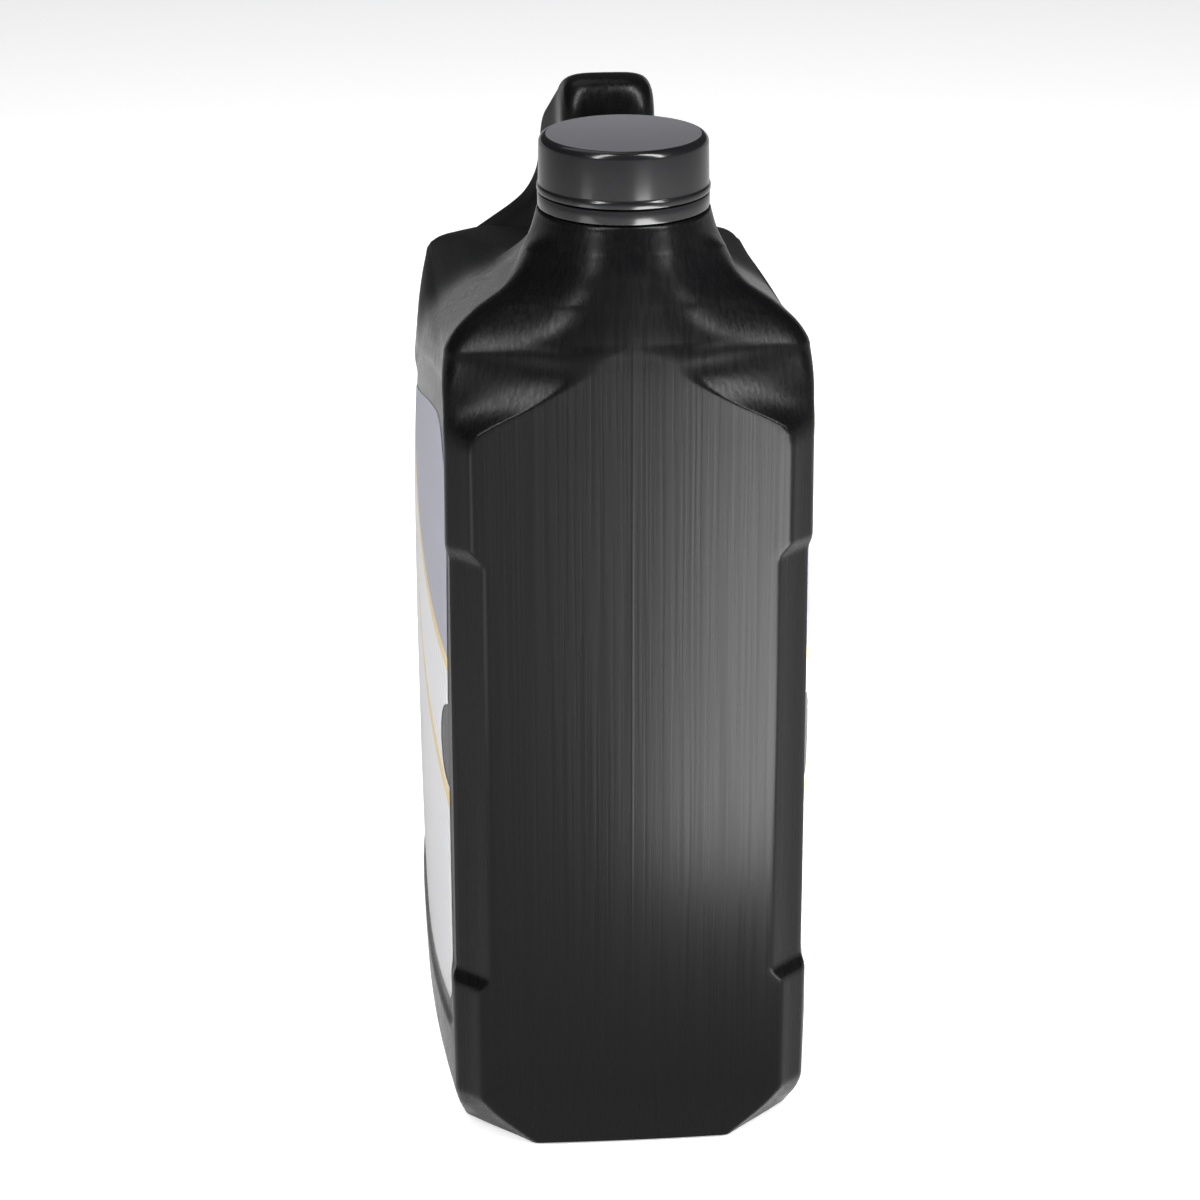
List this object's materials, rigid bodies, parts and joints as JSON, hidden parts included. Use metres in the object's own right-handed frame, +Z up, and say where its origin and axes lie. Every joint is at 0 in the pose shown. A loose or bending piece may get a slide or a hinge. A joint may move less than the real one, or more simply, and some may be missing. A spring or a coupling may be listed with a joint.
{
  "type": "motor oil bottle",
  "caption": "Tall black jug-shaped motor oil bottle with a loop handle, gripped corner strips, a screw cap with its tamper ring, and labels on both wide faces.",
  "frame": {"origin": "centre of the footprint, on the surface the bottle stands on", "axes": "+Z up along the height; -Y towards the narrow front under the neck, +Y towards the back of the handle; +X and -X towards the two wide label faces"},
  "size_m": [0.1226, 0.2041, 0.3122],
  "materials": {
    "bottle": "satin, blow-moulded",
    "cap": "glossy sides, fine matte top",
    "liner": "matte",
    "label": "coated, satin"
  },
  "bodies": {
    "bottle": {"bottle": "bottle", "tamper_band": "cap", "left_label": "label", "right_label": "label"},
    "liner": {"cap_liner": "liner"},
    "cap": {"screw_cap": "cap"}
  },
  "joints": [
    {"name": "cap_rise", "type": "slide", "parent": "bottle", "child": "liner", "axis": [0, 0, 1], "range_m": [0, 0.007]},
    {"name": "cap_turn", "type": "hinge", "parent": "liner", "child": "cap", "pos_m": [0, -0.0716, 0.3], "axis": [0, 0, 1], "range_deg": [0, 630]}
  ],
  "couplings": [
    {"joint": "cap_rise", "follows": "cap_turn", "m_per_rad": 0.00063662}
  ]
}
